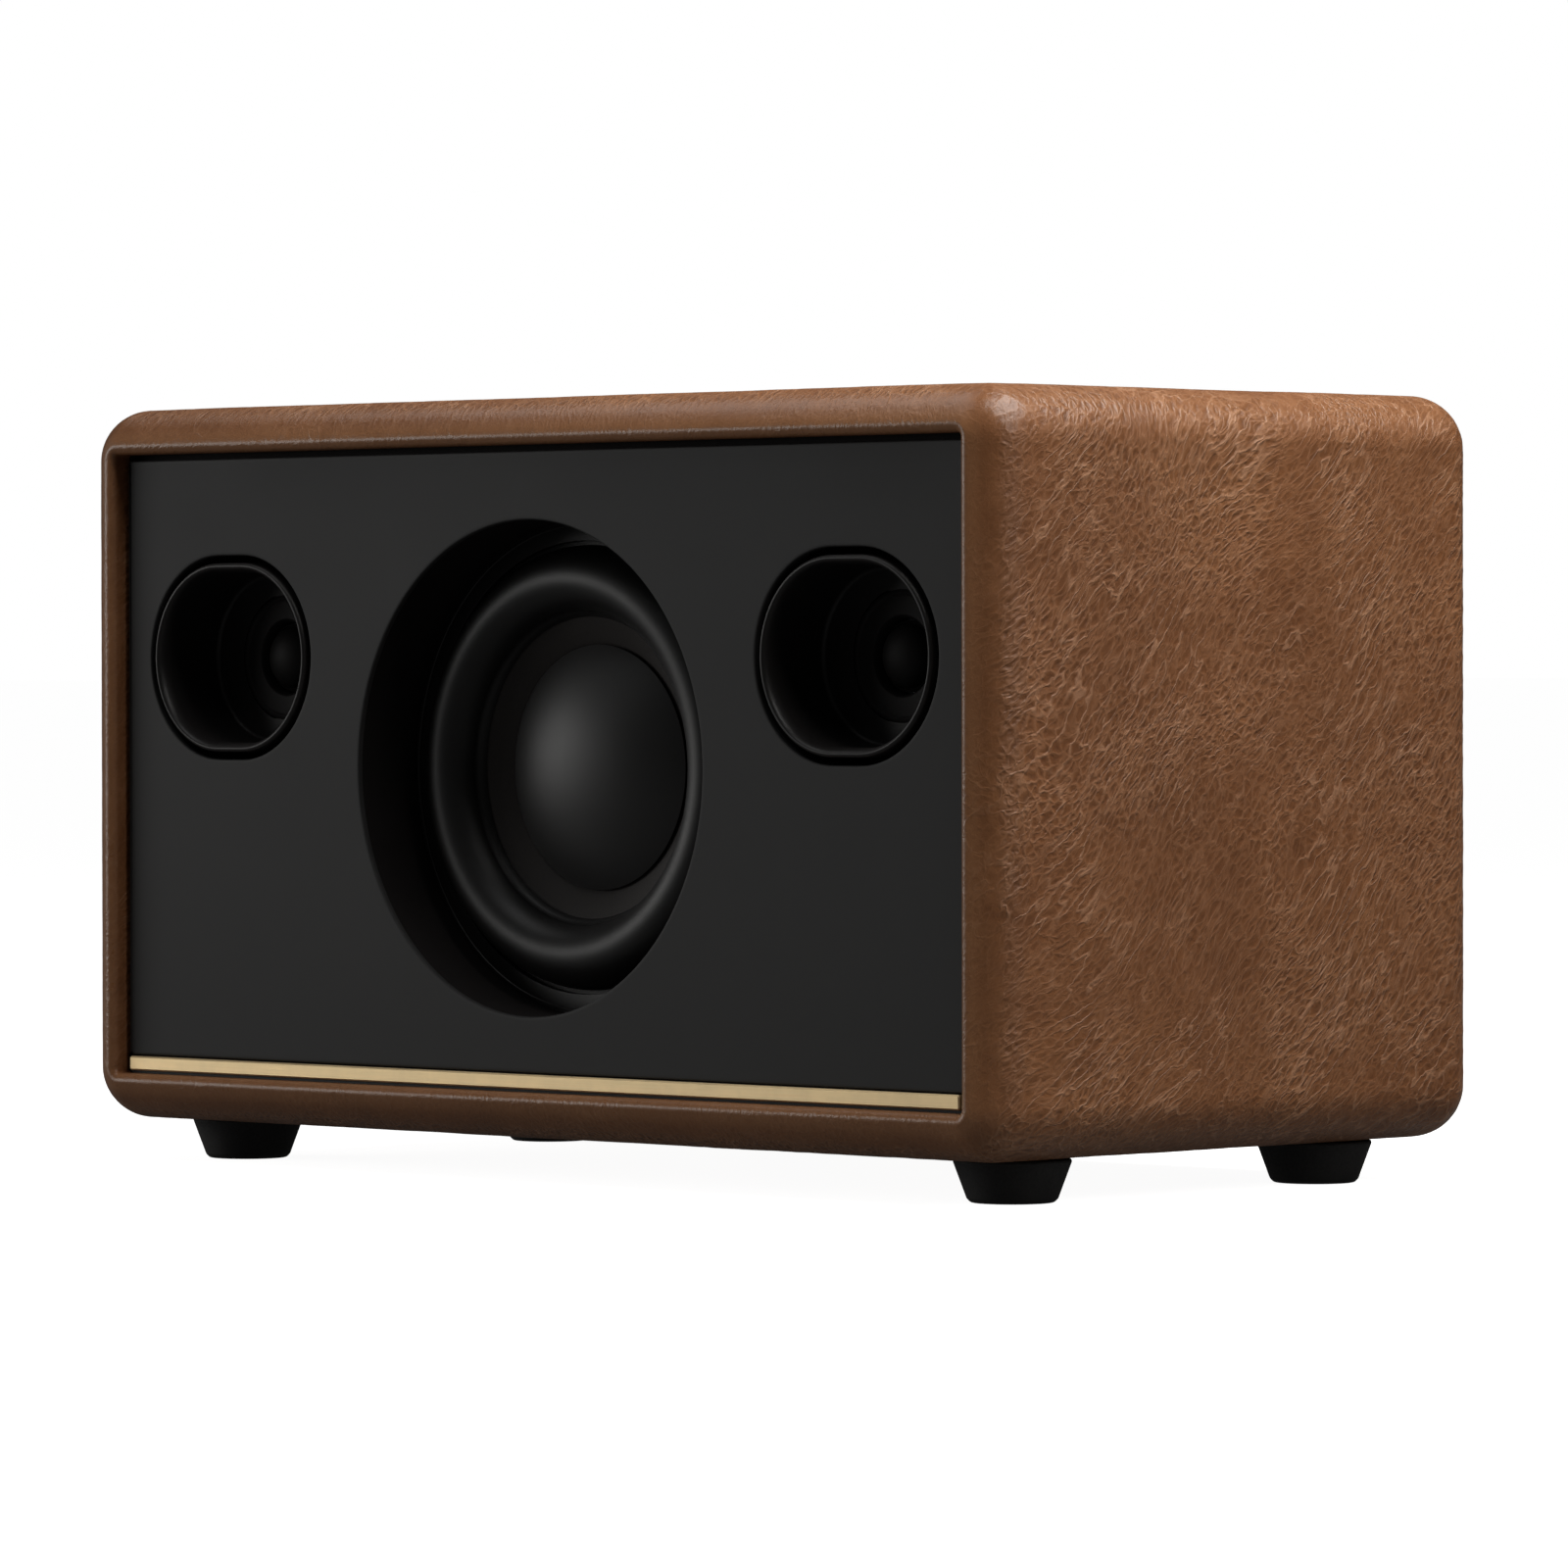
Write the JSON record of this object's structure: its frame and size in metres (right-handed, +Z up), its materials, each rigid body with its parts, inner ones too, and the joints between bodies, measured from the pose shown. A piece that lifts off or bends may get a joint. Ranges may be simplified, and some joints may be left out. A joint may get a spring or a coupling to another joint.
{
  "type": "portable radio",
  "caption": "Leather-wrapped portable radio with a recessed black baffle, a woofer, obround tweeter horns, a brass strip, rubber feet and a sunken top control well.",
  "frame": {"origin": "centre of the bounding box's bottom, on the surface that the feet stand on", "axes": "+Z up, +X to the right seen from the front, the front faces -Y"},
  "size_m": [0.26, 0.1408, 0.1565],
  "materials": {
    "leather": "semi-gloss brown grain leather",
    "wood": "raw board, hidden",
    "black_board": "board painted satin black",
    "brass": "brushed",
    "gloss_black": "gloss black",
    "matte_black": "matte black",
    "rubber": "matte",
    "paper_cone": "coated pulp",
    "spider_cloth": "treated cloth",
    "coil": "copper wire on a former",
    "steel": "zinc plated",
    "black_steel": "black oxide",
    "ferrite": "ferrite",
    "board_green": "printed board",
    "heat_sink": "black anodised",
    "battery": "shrink wrap",
    "lens_red": "translucent red",
    "nickel": "nickel plated"
  },
  "bodies": {
    "radio_body": {"leather_cover": "leather", "cabinet": "wood", "front_baffle": "black_board", "brass_strip": "brass", "waveguide_left": "gloss_black", "waveguide_right": "gloss_black", "tweeter_plate_left": "gloss_black", "tweeter_plate_right": "gloss_black", "tweeter_magnet_left": "steel", "tweeter_magnet_right": "steel", "woofer_gasket": "matte_black", "woofer_basket": "black_steel", "woofer_surround": "rubber", "woofer_spider": "spider_cloth", "woofer_top_plate": "steel", "woofer_magnet": "ferrite", "woofer_yoke": "steel", "woofer_screw_1": "black_steel", "woofer_screw_2": "black_steel", "woofer_screw_3": "black_steel", "woofer_screw_4": "black_steel", "rear_panel": "matte_black", "port_tube": "matte_black", "power_inlet": "matte_black", "aux_socket": "nickel", "rear_screw_1": "black_steel", "rear_screw_2": "black_steel", "rear_screw_3": "black_steel", "rear_screw_4": "black_steel", "control_tray": "matte_black", "control_plate": "brass", "control_board": "board_green", "volume_pot": "nickel", "tone_pot": "nickel", "tuning_pot": "nickel", "power_switch": "nickel", "indicator_lens": "lens_red", "amp_board": "board_green", "heat_sink": "heat_sink", "battery_pack": "battery", "ferrite_antenna": "ferrite", "foot_front_left": "rubber", "foot_front_right": "rubber", "foot_rear_left": "rubber", "foot_rear_right": "rubber"},
    "woofer_motor": {"woofer_cone": "paper_cone", "woofer_dust_cap": "paper_cone", "voice_coil": "coil"},
    "tweeter_left_motor": {"tweeter_dome_left": "paper_cone"},
    "tweeter_right_motor": {"tweeter_dome_right": "paper_cone"},
    "volume_control": {"volume_knob": "brass", "volume_shaft": "steel"},
    "tone_control": {"tone_knob": "brass", "tone_shaft": "steel"},
    "tuning_control": {"tuning_knob": "brass", "tuning_shaft": "steel"},
    "source_key": {"source_button": "brass"},
    "band_key": {"band_button": "brass"},
    "power_toggle": {"power_lever": "brass"}
  },
  "joints": [
    {"name": "woofer_travel", "type": "slide", "parent": "radio_body", "child": "woofer_motor", "axis": [0, -1, 0], "range_m": [-0.003, 0.003], "stiffness_N_per_m": 1500, "deforming": ["woofer_surround", "woofer_spider"]},
    {"name": "tweeter_left_travel", "type": "slide", "parent": "radio_body", "child": "tweeter_left_motor", "axis": [0, -1, 0], "range_m": [-0.0003, 0.0003], "stiffness_N_per_m": 1500},
    {"name": "tweeter_right_travel", "type": "slide", "parent": "radio_body", "child": "tweeter_right_motor", "axis": [0, -1, 0], "range_m": [-0.0003, 0.0003], "stiffness_N_per_m": 1500},
    {"name": "volume_turn", "type": "hinge", "parent": "radio_body", "child": "volume_control", "pos_m": [-0.026, 0.033, 0.15], "axis": [0, 0, -1], "range_deg": [0, 300]},
    {"name": "tone_turn", "type": "hinge", "parent": "radio_body", "child": "tone_control", "pos_m": [0.006, 0.033, 0.15], "axis": [0, 0, -1], "range_deg": [-150, 150]},
    {"name": "tuning_turn", "type": "hinge", "parent": "radio_body", "child": "tuning_control", "pos_m": [0.038, 0.033, 0.15], "axis": [0, 0, -1], "range_deg": [-150, 150]},
    {"name": "source_press", "type": "slide", "parent": "radio_body", "child": "source_key", "axis": [0, 0, -1], "range_m": [0, 0.0012], "stiffness_N_per_m": 600, "springref_m": -0.0004},
    {"name": "band_press", "type": "slide", "parent": "radio_body", "child": "band_key", "axis": [0, 0, -1], "range_m": [0, 0.0012], "stiffness_N_per_m": 600, "springref_m": -0.0004},
    {"name": "power_throw", "type": "hinge", "parent": "radio_body", "child": "power_toggle", "pos_m": [-0.052, 0.033, 0.141], "axis": [-1, 0, 0], "range_deg": [0, 28]}
  ]
}
